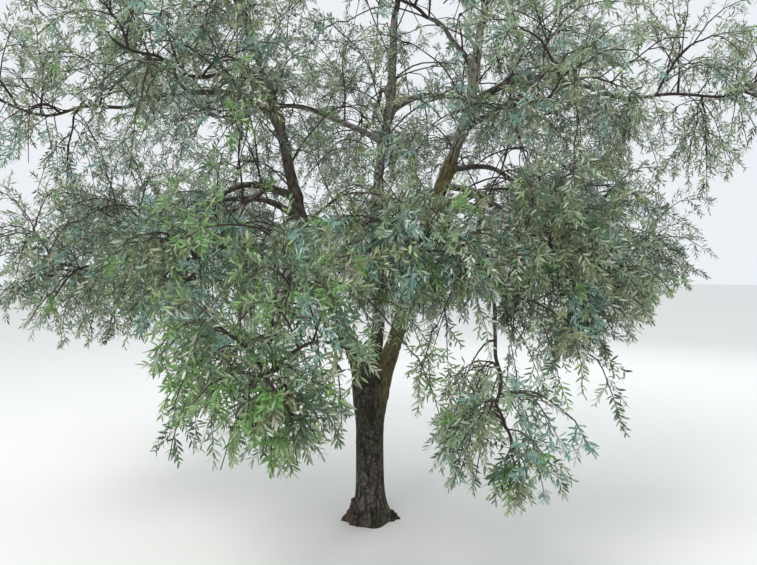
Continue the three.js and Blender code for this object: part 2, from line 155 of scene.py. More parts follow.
# name: on which limb, how far along, bow, radii, then its mass: name, middle, half sizes, twigs
limbSettings = {
    "bough_left": ("trunk", 0.76, (-0.025, 0.025, 0), (0.052, 0.025),
                   "top_left", (-0.88, 0.06, 3.43), (0.66, 0.6, 0.48), 5),
    "bough_right": ("trunk", 0.76, (0.072, 0.025, 0), (0.054, 0.026),
                    "top_right", (0.79, 0.02, 3.45), (0.66, 0.6, 0.48), 5),
    "bough_back": ("trunk", 0.76, (-0.01, 0.09, 0), (0.047, 0.024),
                   "top_middle", (0.18, 0.58, 3.66), (0.66, 0.6, 0.47), 5),
    "limb_left_arch": ("bough_left", 0.56, (-0.02, -0.06, 0.15), (0.025, 0.011),
                       "far_left_low", (-1.64, -0.35, 1.62), (0.6, 0.56, 0.53), 6),
    "limb_left_drop": ("limb_left_arch", 0.22, (-0.02, 0.03, 0.03), (0.023, 0.013),
                       "left_low", (-0.83, -0.93, 1.6), (0.52, 0.46, 0.5), 5),
    "limb_front_left": ("bough_left", 0.4, (-0.03, -0.04, 0.19), (0.024, 0.011),
                        "front_left_low", (-0.38, -1.78, 1.25), (0.46, 0.42, 0.46), 6),
    "limb_middle": ("bough_left", 0.36, (0.06, 0.04, 0.06), (0.021, 0.012),
                    "front_middle", (0.19, -1.0, 1.7), (0.44, 0.39, 0.41), 5),
    "limb_far_left": ("bough_left", 0.76, (0, 0.03, 0.15), (0.023, 0.011),
                      "far_left_high", (-2.05, -0.15, 2.6), (0.65, 0.62, 0.54), 6),
    "limb_left_front": ("bough_left", 0.84, (0, -0.02, 0.07), (0.021, 0.011),
                        "left_high", (-1.1, -0.78, 2.68), (0.6, 0.53, 0.52), 5),
    "limb_left_back_low": ("bough_left", 0.5, (-0.04, 0, 0.15), (0.024, 0.011),
                           "left_back_low", (-1.7, 0.8, 1.95), (0.6, 0.58, 0.52), 5),
    "limb_right_low": ("bough_right", 0.58, (0.04, 0, 0.07), (0.022, 0.011),
                       "right_low", (1.04, -0.72, 1.56), (0.5, 0.46, 0.53), 5),
    "limb_front_right": ("limb_right_low", 0.3, (0, -0.12, 0.15), (0.015, 0.009),
                         "front_right_low", (0.6, -1.34, 0.93), (0.43, 0.39, 0.44), 5),
    "limb_right_side": ("bough_right", 0.62, (0, 0.04, 0.14), (0.02, 0.01),
                        "far_right_low", (1.58, 0.23, 1.74), (0.52, 0.54, 0.52), 5),
    "limb_right_front": ("bough_right", 0.72, (0.03, 0, 0.06), (0.021, 0.011),
                         "right_high", (0.94, -0.9, 2.52), (0.54, 0.49, 0.53), 5),
    "limb_far_right": ("bough_right", 0.8, (0, 0, 0.13), (0.023, 0.011),
                       "far_right_high", (2.0, -0.23, 2.64), (0.65, 0.62, 0.54), 6),
    "limb_top_front": ("bough_right", 0.88, (0, 0, 0.06), (0.018, 0.01),
                       "top_front", (0.04, -0.66, 3.2), (0.6, 0.5, 0.46), 5),
    "limb_right_back_low": ("bough_right", 0.5, (0.03, 0, 0.15), (0.024, 0.011),
                            "right_back_low", (1.43, 1.22, 1.9), (0.6, 0.58, 0.52), 5),
    "limb_back_left_low": ("bough_back", 0.42, (0, 0.06, 0.15), (0.023, 0.011),
                           "back_left_low", (-0.83, 1.62, 1.8), (0.61, 0.56, 0.52), 5),
    "limb_back_right_low": ("bough_back", 0.5, (0, 0, 0.17), (0.023, 0.011),
                            "back_right_low", (0.48, 1.85, 1.62), (0.6, 0.54, 0.54), 5),
    "limb_left_back": ("bough_back", 0.66, (0, 0, 0.12), (0.023, 0.011),
                       "left_back_high", (-1.43, 1.0, 2.84), (0.64, 0.6, 0.53), 5),
    "limb_right_back": ("bough_back", 0.74, (0, 0, 0.11), (0.022, 0.011),
                        "right_back_high", (1.34, 1.02, 2.83), (0.64, 0.6, 0.53), 5),
    "limb_back": ("bough_back", 0.8, (0, 0, 0.08), (0.02, 0.011),
                  "back_high", (-0.08, 1.67, 2.76), (0.64, 0.57, 0.53), 5),
}

growth = {
    "crook": 0.018,  # how far a line wanders, as a share of its length
    "crookWaves": (9, 7),  # radians over the whole length, across and in depth
    "collar": 0.28,  # how a limb thickens at its root
    "collarLength": 2.4,  # in root radii
    "spaceGap": 0.012,  # air between the spaces of two masses
    "tipShares": (0.9, 0.8, 0.7, 0.6, 0.5, 0.4, 0.3),
    "tipDepth": 3,  # in tip radii
    "phaseStep": 1.7,  # between the waves of one limb and the next
    "seedStep": 7,
    "stemReach": 0.5,  # how far a stem runs on past the middle of its mass
    "stemBow": 0.175,
    "stemTip": 0.0065,  # radius
    "twigReach": (0.612, 0.748),  # least and most, as shares of the mass's half sizes
    "twigTurn": 0.6,
    "twigArch": 0.16,
    "twigRoots": (0.2, 0.88),  # first and last, along the stem
    "twigRadii": (0.008, 0.0045),
    "steep": 0.1,  # level part under which a direction counts as upright
    "near": 1e-4,  # how far along a line its heading looks
}
up = np.array((0.0, 0.0, 1.0))
rightward = np.array((1.0, 0.0, 0.0))
goldenTurn = math.pi * (3 - math.sqrt(5))


def mix(a, b, t):  # a at t = 0 and b at t = 1
    return a + (b - a) * t


def smoothStep(x, low, high):  # 0 under low and 1 over high, level at both ends
    s = np.clip((x - low) / (high - low), 0, 1)
    return s * s * (3 - 2 * s)


def sizeOf(v):  # the lengths of vectors
    return np.linalg.norm(v, axis=-1, keepdims=True)


def unit(v):  # vectors over their lengths
    return v / np.maximum(sizeOf(v), 1e-12)


def squareTo(direction, wanted):  # the nearest thing to wanted that is square to direction
    return unit(wanted - direction * np.sum(wanted * direction, -1, keepdims=True))


def sideOf(direction):  # a level direction square to direction
    level = np.cross(up, direction)
    steep = sizeOf(level) <= growth["steep"]
    return np.where(steep, squareTo(direction, rightward), unit(level))


def aroundLine(along, reference, angle):  # the direction square to along, at angle from reference
    side = squareTo(along, reference)
    deep = np.cross(side, along)
    return side * np.cos(angle)[..., None] + deep * np.sin(angle)[..., None]


# A bundle of growth lines. Each runs straight from root to tip, plus bow times 4t(1-t), plus two
# slow waves, sin(9t + phase) across and cos(7t + 2 phase) in depth, that fade as sin(pi t).
def bundle(root, tip, bow, phase):
    root, tip, bow = (np.atleast_2d(np.array(v, float)) for v in (root, tip, bow))
    chord = tip - root
    across = sideOf(unit(chord))
    return {
        "root": root, "tip": tip, "bow": np.broadcast_to(bow, root.shape),
        "phase": np.broadcast_to(np.array(phase, float), (len(root),)),
        "length": sizeOf(chord)[:, 0], "wander": growth["crook"] * sizeOf(chord),
        "across": across, "deep": np.cross(unit(chord), across),
    }


def picked(lines, rows):  # some lines of a bundle
    return {key: values[rows] for key, values in lines.items()}


def pointsOn(lines, t):  # t is (places) or (lines, places), and the points are (lines, places, 3)
    t = np.broadcast_to(t, (len(lines["root"]), np.shape(t)[-1]))[..., None]
    free = lines["wander"][:, None] * np.sin(np.pi * t)
    phase = lines["phase"][:, None, None]
    acrossWaves, deepWaves = growth["crookWaves"]
    return (
        mix(lines["root"][:, None], lines["tip"][:, None], t)
        + lines["bow"][:, None] * 4 * t * (1 - t)
        + lines["across"][:, None] * free * np.sin(acrossWaves * t + phase)
        + lines["deep"][:, None] * free * np.cos(deepWaves * t + 2 * phase)
    )


def headingOn(lines, t):  # which way the lines run at t, from two places close to it
    t = np.asarray(t, float)
    near = growth["near"]
    return unit(pointsOn(lines, np.minimum(t + near, 1)) - pointsOn(lines, np.maximum(t - near, 0)))


limbNames = list(limbSettings)
masses = [row[4] for row in limbSettings.values()]
middles = np.array([row[5] for row in limbSettings.values()])
halves = np.array([row[6] for row in limbSettings.values()])
weights = halves.mean(1) ** 2


# How deep points lie in the space of mass i: an ellipsoid, cut off by flat borders half way to its
# neighbours. slack lets twigs reach over those borders.
def depthInSpace(i, points, slack=0.0):
    away = points - middles[i]
    depth = (1 - sizeOf(away / halves[i])[..., 0]) * halves[i].min()
    others = np.delete(np.arange(len(middles)), i)
    toOthers = np.sum((points[..., None, :] - middles[others]) ** 2, -1) - weights[others]
    lead = toOthers - np.sum(away**2, -1)[..., None] + weights[i]
    apart = sizeOf(middles[others] - middles[i])[:, 0]
    return np.minimum(depth, (lead / (2 * apart)).min(-1) - growth["spaceGap"] / 2 + slack)


def limbTip(i, root, tipRadius):  # the first place on the way to the mass's middle that is inside
    back = root - middles[i]
    edge = 1 / sizeOf(back / halves[i])[0]
    for share in growth["tipShares"]:
        tip = middles[i] + back * share * edge
        if depthInSpace(i, tip) > growth["tipDepth"] * tipRadius:
            return tip


trunkLine = bundle(
    (0, 0, -trunkSettings["below"]), (0, 0, trunkSettings["height"]), (trunkSettings["bow"], 0, 0), 0
)
trunkLine["wander"] = 0 * trunkLine["wander"]  # the trunk only bows
limbLines = {"trunk": trunkLine}
for i, name in enumerate(limbNames):
    onLimb, at, bow, radii = limbSettings[name][:4]
    root = pointsOn(limbLines[onLimb], [at])[0, 0]
    limbLines[name] = bundle(root, limbTip(i, root, radii[1]), bow, growth["phaseStep"] * i)


def limbRadius(name, t):  # an even taper, with a collar at the root
    first, last = limbSettings[name][3]
    reach = t * limbLines[name]["length"][0] / (growth["collarLength"] * first)
    return mix(first, last, t) + growth["collar"] * first * np.exp(-reach)


# The trunk's radius at a height and angle: waist, flare and lobes at the ground, a neck that widens
# under the fork, and a top that rounds over.
def trunkRadius(height, angle):
    s = trunkSettings
    overGround = np.maximum(height, 0)
    neck = s["neck"][0] * np.cos(angle) ** 2 + s["neck"][1] * np.sin(angle) ** 2
    radius = s["waist"] + s["flare"] * np.exp(-overGround / s["flareFade"])
    radius = radius + neck * smoothStep(height, s["neckFrom"], s["neckTo"])
    for lobe, size, spread, fade in s["rootLobes"]:
        away = (np.degrees(angle) - lobe + 180) % 360 - 180
        radius = radius + size * np.exp(-((away / spread) ** 2) - overGround / fade)
    over = np.maximum(0, (height - s["height"] + s["crotch"]) / s["crotch"])
    return radius * np.sqrt(1 - s["crown"] * np.minimum(over, 1) ** 2)


print("limbs laid out:", len(limbLines))

# Meshes from arrays


# A mesh from points, lists of equal-sided faces, a material number for each face, numbers for each
# point and a map.
def addPiece(name, points, faces, materials, slots, attributes=(), uv=None, smooth=False):
    mesh = bpy.data.meshes.new(name)
    mesh.vertices.add(len(points))
    mesh.vertices.foreach_set("co", points.astype(np.float32).ravel())
    sizes = np.concatenate([np.full(len(f), f.shape[1]) for f in faces])
    corners = np.concatenate([f.ravel() for f in faces])
    mesh.loops.add(len(corners))
    mesh.loops.foreach_set("vertex_index", corners.astype(np.int32))
    mesh.polygons.add(len(sizes))
    mesh.polygons.foreach_set("loop_start", (np.cumsum(sizes) - sizes).astype(np.int32))
    mesh.polygons.foreach_set("material_index", np.broadcast_to(slots, sizes.shape).astype(np.int32))
    mesh.polygons.foreach_set("use_smooth", np.full(len(sizes), smooth))
    mesh.update(calc_edges=True)
    for key, values in dict(attributes).items():
        layer = mesh.attributes.new(key, "FLOAT", "POINT")
        layer.data.foreach_set("value", values.astype(np.float32).ravel())
    if uv is not None:
        layer = mesh.uv_layers.new(name="bark")
        layer.data.foreach_set("uv", uv[corners].astype(np.float32).ravel())
    for material in materials:
        mesh.materials.append(material)
    piece = bpy.data.objects.new(name, mesh)
    scene.collection.objects.link(piece)
    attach(piece, "root")
    return piece


# Closed tubes: rings of the given radii round each of many paths, joined by quads, with a flat foot
# and a fan to a point some radii past the path's end. Corner k of a ring stands at angle 2 pi k / sides.
def tubeShapes(paths, radii, sides, outward=None, point=2.0):
    count, rings = paths.shape[:2]
    if outward is None:
        along = unit(np.gradient(paths, axis=1))
        reference = sideOf(unit(paths[:, -1] - paths[:, 0]))[:, None, None]
        angle = np.arange(sides) * 2 * np.pi / sides
        outward = aroundLine(along[:, :, None], reference, np.broadcast_to(angle, (count, rings, sides)))
    end = unit(paths[:, -1:] - paths[:, -2:-1]) * radii.reshape(count, rings, -1)[:, -1:, :1] * point
    skin = paths[:, :, None] + outward * radii.reshape(count, rings, -1)[..., None]
    points = np.concatenate([skin.reshape(count, -1, 3), paths[:, -1:] + end], 1)
    ring, corner = np.meshgrid(np.arange(rings - 1), np.arange(sides), indexing="ij")
    after = (corner + 1) % sides
    quads = np.stack([ring * sides + corner, (ring + 1) * sides + corner,
                      (ring + 1) * sides + after, ring * sides + after], -1).reshape(-1, 4)
    k = np.arange(sides)
    last = (rings - 1) * sides
    head = np.stack([last + (k + 1) % sides, last + k, np.full(sides, rings * sides)], 1)
    start = (np.arange(count) * (rings * sides + 1))[:, None, None]
    faces = [(part + start).reshape(-1, part.shape[-1]) for part in (quads, head, k[None])]
    return points.reshape(-1, 3), faces


noiseHash = {  # large odd numbers that scatter neighbouring places
    "axes": (73856093, 19349663, 83492791), "seed": 374761393, "stir": 1274126177, "shifts": (13, 16),
    "whole": 0xFFFFFFFF, "part": 0xFFFFFF,
}


# Value noise: a random number at each whole coordinate, blended smoothly in between.
def latticeNoise(x, y, z, seed):
    h = noiseHash
    cell = [np.floor(c).astype(np.int64) for c in (x, y, z)]
    share = [smoothStep(c - np.floor(c), 0, 1) for c in (x, y, z)]
    total = 0
    for corner in np.ndindex(2, 2, 2):
        key = sum((c + d) * p for c, d, p in zip(cell, corner, h["axes"]))
        key = (key + seed * h["seed"]) & h["whole"]
        key = ((key ^ (key >> h["shifts"][0])) * h["stir"]) & h["whole"]
        key = (key ^ (key >> h["shifts"][1])) & h["part"]
        weight = 1
        for s, d in zip(share, corner):
            weight = weight * (s if d else 1 - s)
        total = total + weight * key / h["part"]
    return total


def roundNoise(angle, along, radius, seed):  # noise read on a cylinder, so that it closes round a limb
    return latticeNoise(np.cos(angle) * radius, np.sin(angle) * radius, along, seed)


barkPattern = {
    "octaves": ((1, 0.62), (2, 0.38)),  # how much finer than the plates, and how strong
    "edge": (0.62, 0.98),  # how near a half the noise is where a fissure begins and where it is deepest
    "sway": 0.5,  # how far the fissures lean round the limb, in radians
    "swaySize": 2,  # of its noise, round the limb and in plates along it
    "lumpSize": 1.4,
    "swaySeed": 5,  # these two are added to the limb's seed
    "lumpSeed": 9,
}


# Bark: fissures that run along the limb and part it into plates. A fissure stands where the noise
# passes a half. Lumps are added.
def barkRelief(angle, along, radius, look, seed):
    p = barkPattern
    wide = radius / look["plate"]
    tall = look["plate"] * look["stretch"]
    sway = roundNoise(angle, along / (p["swaySize"] * tall), p["swaySize"], seed + p["swaySeed"]) - 0.5
    fissure = 0
    for octave, weight in p["octaves"]:
        turned, shifted = angle + sway * p["sway"], along / tall + sway
        n = roundNoise(turned, shifted * octave, wide * octave, seed + octave)
        fissure = fissure + weight * smoothStep(1 - np.abs(2 * n - 1), *p["edge"])
    lumps = roundNoise(angle, along / look["lumpLength"], p["lumpSize"], seed + p["lumpSeed"])
    height = look["lump"] * (lumps - 0.5) - look["depth"] * fissure
    return height, fissure


# Bark materials

barkSettings = {  # a tint is a colour, the heights it comes in or goes out between, and its strength
    "trunk": {"crest": (87, 81, 74), "groove": (22, 19, 17), "moss": (62, 70, 40), "mossShare": 0.32,
              "tints": (((26, 28, 20), 0.4, 0.62, 0.45),)},
    "left": {"crest": (62, 59, 50), "groove": (27, 24, 22), "moss": (76, 82, 52), "mossShare": 0.3,
             "tints": (((118, 108, 100), 1.15, 1.6, 0.75),)},
    "mossy": {"crest": (134, 127, 106), "groove": (52, 47, 38), "moss": (116, 112, 66), "mossShare": 0.6,
              "tints": (((86, 78, 58), 1.7, 1.0, 0.8), ((172, 168, 160), 2.2, 2.4, 0.8))},
    "pale": {"crest": (72, 68, 59), "groove": (40, 36, 33), "moss": (84, 86, 60), "mossShare": 0.25,
             "tints": (((152, 146, 139), 1.05, 1.5, 0.9),)},
    "limb": {"crest": (98, 92, 84), "groove": (37, 33, 30), "moss": (74, 80, 52), "mossShare": 0.25,
             "tints": (((112, 110, 104), 1.9, 2.6, 0.35),)},
    "paintedTopLight": (168, 162, 158),  # painted light: the pale colour of the lit upper sides of level limbs
    "fork": (92, 85, 62),  # the olive-brown side of the trunk under the right bough
    "burl": ((36, 28, 25), (98, 75, 66)),  # the red-brown of the knobs at the foot, low and high
    "stains": (9.0, 0.42, 0.52),  # scale, share and how much darker
    "lichen": (55.0, 0.34, 1.9),  # scale, share and how much paler
    "palest": 0.8,
    "mossScale": 5.0,
    "mossStrength": 0.8,
    "knobs": (0.02, 0.25, 0.75),  # the rise where their colour begins and is whole, and its strength
    "knobTops": (0.2, 0.85),
    "cracks": (150.0, 0.25),  # scale, and how much slower they change along the limb
    "crackShade": ((0.35, 0.65), (0.6, 1.28)),  # their noise, and how dark and light it makes the bark
    "bump": (0.7, 0.003),
    "roughness": 0.9,
    "specular": 0.25,
}


def newGroup(name, inputs, outputs):  # a node group with its sockets
    group = bpy.data.node_groups.new(name, "ShaderNodeTree")
    for socket, kind, value in inputs:
        made = group.interface.new_socket(name=socket, in_out="INPUT", socket_type=kind)
        made.default_value = value
    for socket, kind in outputs:
        group.interface.new_socket(name=socket, in_out="OUTPUT", socket_type=kind)
    return group, group.nodes.new("NodeGroupInput"), group.nodes.new("NodeGroupOutput")


def addNode(tree, kind, settings=(), inputs=()):  # a node whose inputs are values or other sockets
    node = tree.nodes.new(kind)
    for key, value in dict(settings).items():
        setattr(node, key, value)
    for key, value in dict(inputs).items():
        if isinstance(value, bpy.types.NodeSocket):
            tree.links.new(value, node.inputs[key])
        else:
            node.inputs[key].default_value = value
    return node


def reckoned(tree, operation, first, second):  # two values or sockets added, multiplied or the like
    return addNode(tree, "ShaderNodeMath", {"operation": operation}, {0: first, 1: second}).outputs[0]


def spreadOut(tree, value, low, high, to=(0.0, 1.0), kind="LINEAR"):  # low to high becomes the pair in to
    node = addNode(tree, "ShaderNodeMapRange", {"interpolation_type": kind}, {
        "Value": value, "From Min": low, "From Max": high, "To Min": to[0], "To Max": to[1]})
    return node.outputs["Result"]


def pointNumber(tree, name):  # a number that the mesh holds for each of its points
    return addNode(tree, "ShaderNodeAttribute", {"attribute_name": name}).outputs["Fac"]


def mixColours(tree, factor, first, second, blend="MIX"):  # second is laid over first by factor
    node = addNode(tree, "ShaderNodeMix", {"data_type": "RGBA", "blend_type": blend})
    for key, kind, value in (("Factor", "VALUE", factor), ("A", "RGBA", first), ("B", "RGBA", second)):
        socket = [s for s in node.inputs if s.name == key and s.type == kind][0]
        if isinstance(value, bpy.types.NodeSocket):
            tree.links.new(value, socket)
        else:
            socket.default_value = value
    return [s for s in node.outputs if s.type == "RGBA"][0]


mottlingSettings = {"detail": 4.0, "roughness": 0.6, "middle": 0.78, "softness": 0.22}


# Mottling: patches of noise, as a mask with soft edges. Share says how much of the bark it covers.
def mottlingGroup():
    s = mottlingSettings
    group, taken, given = newGroup(
        "mottling",
        [("Scale", "NodeSocketFloat", 10.0), ("Share", "NodeSocketFloat", 0.5)],
        [("Mask", "NodeSocketFloat")],
    )
    place = addNode(group, "ShaderNodeTexCoord")
    patches = addNode(group, "ShaderNodeTexNoise", inputs={
        "Vector": place.outputs["Object"], "Scale": taken.outputs["Scale"],
        "Detail": s["detail"], "Roughness": s["roughness"]})
    lowest = reckoned(group, "SUBTRACT", s["middle"], taken.outputs["Share"])
    highest = reckoned(group, "ADD", lowest, s["softness"])
    mask = spreadOut(group, patches.outputs["Fac"], lowest, highest, kind="SMOOTHSTEP")
    group.links.new(mask, given.inputs["Mask"])
    return group


crackSettings = {"detail": 5.0, "roughness": 0.65}


# Fine cracks along the limb, on the bark's own map: metres round it and metres along it.
def cracksGroup():
    group, taken, given = newGroup(
        "fineCracks",
        [("Scale", "NodeSocketFloat", 160.0), ("Stretch", "NodeSocketFloat", 0.22)],
        [("Height", "NodeSocketFloat")],
    )
    place = addNode(group, "ShaderNodeUVMap", {"uv_map": "bark"})
    parts = addNode(group, "ShaderNodeSeparateXYZ", inputs={0: place.outputs["UV"]})
    slower = reckoned(group, "MULTIPLY", parts.outputs["Y"], taken.outputs["Stretch"])
    joined = addNode(group, "ShaderNodeCombineXYZ", inputs={"X": parts.outputs["X"], "Y": slower})
    grain = addNode(group, "ShaderNodeTexNoise", inputs={
        "Vector": joined.outputs[0], "Scale": taken.outputs["Scale"],
        "Detail": crackSettings["detail"], "Roughness": crackSettings["roughness"]})
    group.links.new(grain.outputs["Fac"], given.inputs["Height"])
    return group


mottling = mottlingGroup()
fineCracks = cracksGroup()


# One colour is laid over the other: crest, stains, lichen, moss, the tints by height, the painted
# light on the upper side, the fork, the knobs, fine cracks, and last the grooves.
def barkMaterial(name, look):
    b = barkSettings
    material, shader = newMaterial(name, look["crest"], b["roughness"])
    tree = material.node_tree

    def mask(scale, share):
        node = addNode(tree, "ShaderNodeGroup", {"node_tree": mottling}, {"Scale": scale, "Share": share})
        return node.outputs["Mask"]

    crest = np.array(rgba(look["crest"]))
    darker = (*(crest[:3] * b["stains"][2]), 1.0)
    paler = (*np.minimum(crest[:3] * b["lichen"][2], b["palest"]), 1.0)
    colour = mixColours(tree, mask(*b["stains"][:2]), tuple(crest), darker)
    colour = mixColours(tree, mask(*b["lichen"][:2]), colour, paler)
    green = reckoned(tree, "MULTIPLY", mask(b["mossScale"], look["mossShare"]), b["mossStrength"])
    colour = mixColours(tree, green, colour, rgba(look["moss"]))
    place = addNode(tree, "ShaderNodeTexCoord")
    height = addNode(tree, "ShaderNodeSeparateXYZ", inputs={0: place.outputs["Object"]}).outputs["Z"]
    for tint, none, whole, strength in look["tints"]:
        share = spreadOut(tree, height, none, whole, (0.0, strength), "SMOOTHSTEP")
        colour = mixColours(tree, share, colour, rgba(tint))
    # painted light: the upper sides are made paler, as where the light falls on them
    colour = mixColours(tree, pointNumber(tree, "litTopSide"), colour, rgba(b["paintedTopLight"]))
    colour = mixColours(tree, pointNumber(tree, "mossy"), colour, rgba(b["fork"]))
    rise = pointNumber(tree, "burl")
    knob = mixColours(tree, spreadOut(tree, rise, *b["knobTops"]), *map(rgba, b["burl"]))
    begins, whole, strength = b["knobs"]
    colour = mixColours(tree, spreadOut(tree, rise, begins, whole, (0.0, strength)), colour, knob)
    scale, stretch = b["cracks"]
    cracks = addNode(
        tree, "ShaderNodeGroup", {"node_tree": fineCracks}, {"Scale": scale, "Stretch": stretch})
    noise, shades = b["crackShade"]
    grain = spreadOut(tree, cracks.outputs["Height"], *noise, shades)
    shade = addNode(tree, "ShaderNodeCombineColor", inputs={"Red": grain, "Green": grain, "Blue": grain})
    colour = mixColours(tree, 1.0, colour, shade.outputs["Color"], "MULTIPLY")
    colour = mixColours(tree, pointNumber(tree, "fissure"), colour, rgba(look["groove"]))
    tree.links.new(colour, shader.inputs["Base Color"])
    strength, distance = b["bump"]
    bump = addNode(tree, "ShaderNodeBump", inputs={
        "Strength": strength, "Distance": distance, "Height": cracks.outputs["Height"]})
    tree.links.new(bump.outputs["Normal"], shader.inputs["Normal"])
    shader.inputs["Specular IOR Level"].default_value = b["specular"]
    return material


barkNames = ("trunk", "left", "mossy", "limb", "pale")
barkMaterials = {name: barkMaterial(name + "Bark", barkSettings[name]) for name in barkNames}
print("bark materials ready")

# Trunk and limbs

barkLooks = {  # point is how far its end stands out, in radii
    "trunk": {"step": 0.0042, "sides": 156, "plate": 0.014, "stretch": 4.2, "depth": 0.0085,
              "lump": 0.014, "lumpLength": 0.16, "blend": 0.015, "point": 0.2},
    "bough": {"step": 0.008, "sides": 56, "plate": 0.013, "stretch": 3.6, "depth": 0.0045,
              "lump": 0.012, "lumpLength": 0.14, "blend": 0.018, "point": 2.0},
    "limb": {"step": 0.012, "sides": 22, "plate": 0.011, "stretch": 3.5, "depth": 0.0014,
             "lump": 0.005, "lumpLength": 0.07, "blend": 0.007, "point": 2.0},
    "burls": (  # knobs at the foot: angle and its spread in degrees, highest place, how many
        (178, 24, 0.13, 130), (-10, 12, 0.05, 16), (230, 26, 0.06, 36),
    ),
    "knobSize": (0.006, 0.021),
    "knobSink": (0.93, 1.0),  # where their middles lie, as a share of the trunk's radius
    "knobsLow": 1.3,  # over 1 they crowd near the ground
    "knobRise": 0.95,
    "knobGrain": (0.008, 0.014),  # cell and height of their own roughness
    "knobEdge": 4,  # how soon that roughness begins at a knob's foot
    "knobSmooth": 0.6,  # how far knobs hide the fissures' colour
    "fork": ((0.5, 0.86), (0.0, 0.06)),  # the heights and the x over which the trunk turns olive-brown
    "paintedTopLight": (0.85, (0.1, 0.8)),  # painted light: how pale the lit upper sides get, and how level they are for that
    "patches": (0.09, (0.25, 0.55)),  # cell of the noise that breaks this up, and its edge
    "thin": 0.02,  # under this radius the relief gets lower
    "samples": 140,  # places along a limb where its distance is measured
    "touch": (-1.2, 30),  # how deep and how far off two limbs still swell, in blends
    "mostSwell": 1.6,
    "portions": 8,  # points are compared with a limb in so many portions, to save memory
    "trunkSeed": 3,
    "limbSeeds": (100, 30),  # of the first limb, and the step from one limb to the next
    "knobSeed": 5,
    "grainSeed": 20,  # these two are added to the limb's seed
    "patchSeed": 40,
    "bark": {"bough_right": "mossy", "bough_left": "left", "bough_back": "pale", "limb_back": "pale",
             "limb_left_back": "pale", "limb_right_back": "pale", "limb_top_front": "pale"},
}


def trunkGap(points):  # how far points lie outside the trunk
    s = trunkSettings
    height = points[:, 2]
    t = np.clip((height + s["below"]) / (s["height"] + s["below"]), 0, 1)
    x = points[:, 0] - s["bow"] * 4 * t * (1 - t)
    angle = np.arctan2(-points[:, 1], x)
    aside = np.hypot(x, points[:, 1]) - trunkRadius(np.minimum(height, s["height"]), angle)
    over = np.maximum(height - s["height"], 0)
    return np.hypot(np.maximum(aside, 0), over) + np.minimum(aside, 0)


def limbGap(name, points):  # how far points lie outside a limb
    t = np.linspace(0, 1, barkLooks["samples"])
    middle = pointsOn(limbLines[name], t)[0]
    parts = np.array_split(points, barkLooks["portions"])
    return np.concatenate([
        (sizeOf(part[:, None] - middle)[..., 0] - limbRadius(name, t)).min(1) for part in parts])


# Two limbs that meet swell into each other: a skin point at distance d from the other moves out by
# blend times log(1 + exp(-d / blend)).
def meeting(name, points, blend):
    onLimb = limbSettings[name][0] if name in limbSettings else None
    near = [n for n in limbNames if n != name and (limbSettings[n][0] in (name, onLimb))]
    swell = np.zeros(len(points))
    for other in near + [onLimb] * (onLimb is not None):
        gap = trunkGap(points) if other == "trunk" else limbGap(other, points)
        swell = swell + blend * np.logaddexp(0, -np.clip(gap / blend, *barkLooks["touch"]))
    return np.minimum(swell, barkLooks["mostSwell"] * blend)


# Knobs are balls that sit half sunk in the skin at the foot. Their rise at distance d from a ball's
# middle is sqrt(size^2 - d^2).
def knobsOn(skin):
    dice = np.random.default_rng(barkLooks["knobSeed"])
    rise = np.zeros(len(skin))
    for angle, spread, top, count in barkLooks["burls"]:
        turn = np.radians(dice.normal(angle, spread, count))
        height = top * dice.random(count) ** barkLooks["knobsLow"]
        radius = trunkRadius(height, turn) * dice.uniform(*barkLooks["knobSink"], count)
        middles = np.stack([radius * np.cos(turn), -radius * np.sin(turn), height], 1)
        size = dice.uniform(*barkLooks["knobSize"], count)
        away = sizeOf(skin[:, None] - middles)[..., 0]
        rise = np.maximum(rise, np.sqrt(np.maximum(size**2 - away**2, 0)).max(1))
    return rise


def cornerAngles(look):  # 2 pi k / sides for corner k of a ring
    return np.arange(look["sides"]) * 2 * np.pi / look["sides"]


# The skin stands on rings round the limb's line: its radius, plus what it swells where limbs meet,
# plus the bark's relief or the knobs at the foot, whichever is higher.
def addBark(name, centres, outward, radii, along, look, seed):
    s = barkLooks
    rings, sides = radii.shape
    angle = np.broadcast_to(cornerAngles(look), (rings, sides))
    along = np.broadcast_to(along[:, None], (rings, sides))
    height, fissure = barkRelief(angle, along, radii.mean(), look, seed)
    skin = (centres[:, None] + outward * radii[..., None]).reshape(-1, 3)
    swell = meeting(name, skin, look["blend"]).reshape(rings, sides)
    burl, mossy = np.zeros_like(angle), np.zeros_like(angle)
    if name == "trunk":
        rise = knobsOn(skin).reshape(rings, sides)
        burl = np.clip(rise / s["knobSize"][1], 0, 1)
        cell, rough = s["knobGrain"]
        grain = latticeNoise(*(skin / cell).T, seed + s["grainSeed"]).reshape(rings, sides) - 0.5
        height = np.maximum(height, rise * s["knobRise"])
        height = height + rough * grain * np.minimum(burl * s["knobEdge"], 1)
        heights, across = s["fork"]
        x = skin[:, 0].reshape(rings, sides)
        mossy = smoothStep(centres[:, 2:], *heights) * smoothStep(x, *across)
    # Painted light: the sides that face upwards are made paler, in patches
    cell, edge = s["patches"]
    patches = latticeNoise(*(skin / cell).T, seed + s["patchSeed"]).reshape(rings, sides)
    palest, level = s["paintedTopLight"]
    litTopSide = palest * smoothStep(outward[..., 2], *level) * smoothStep(patches, *edge)
    whole = radii + swell + height * np.minimum(1, radii / s["thin"])
    points, faces = tubeShapes(centres[None], whole[None], sides, outward[None], look["point"])
    uv = np.append(np.stack([angle * radii.mean(), along], -1).reshape(-1, 2), np.zeros((1, 2)), 0)
    fissure = fissure * (1 - s["knobSmooth"] * burl)
    numbers = {"fissure": fissure, "burl": burl, "mossy": mossy, "litTopSide": litTopSide}
    numbers = {key: np.append(values.ravel(), 0) for key, values in numbers.items()}
    material = barkMaterials["trunk" if name == "trunk" else s["bark"].get(name, "limb")]
    piece = addPiece("bark_" + name, points, faces, [material], 0, numbers, uv, smooth=True)
    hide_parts(name)


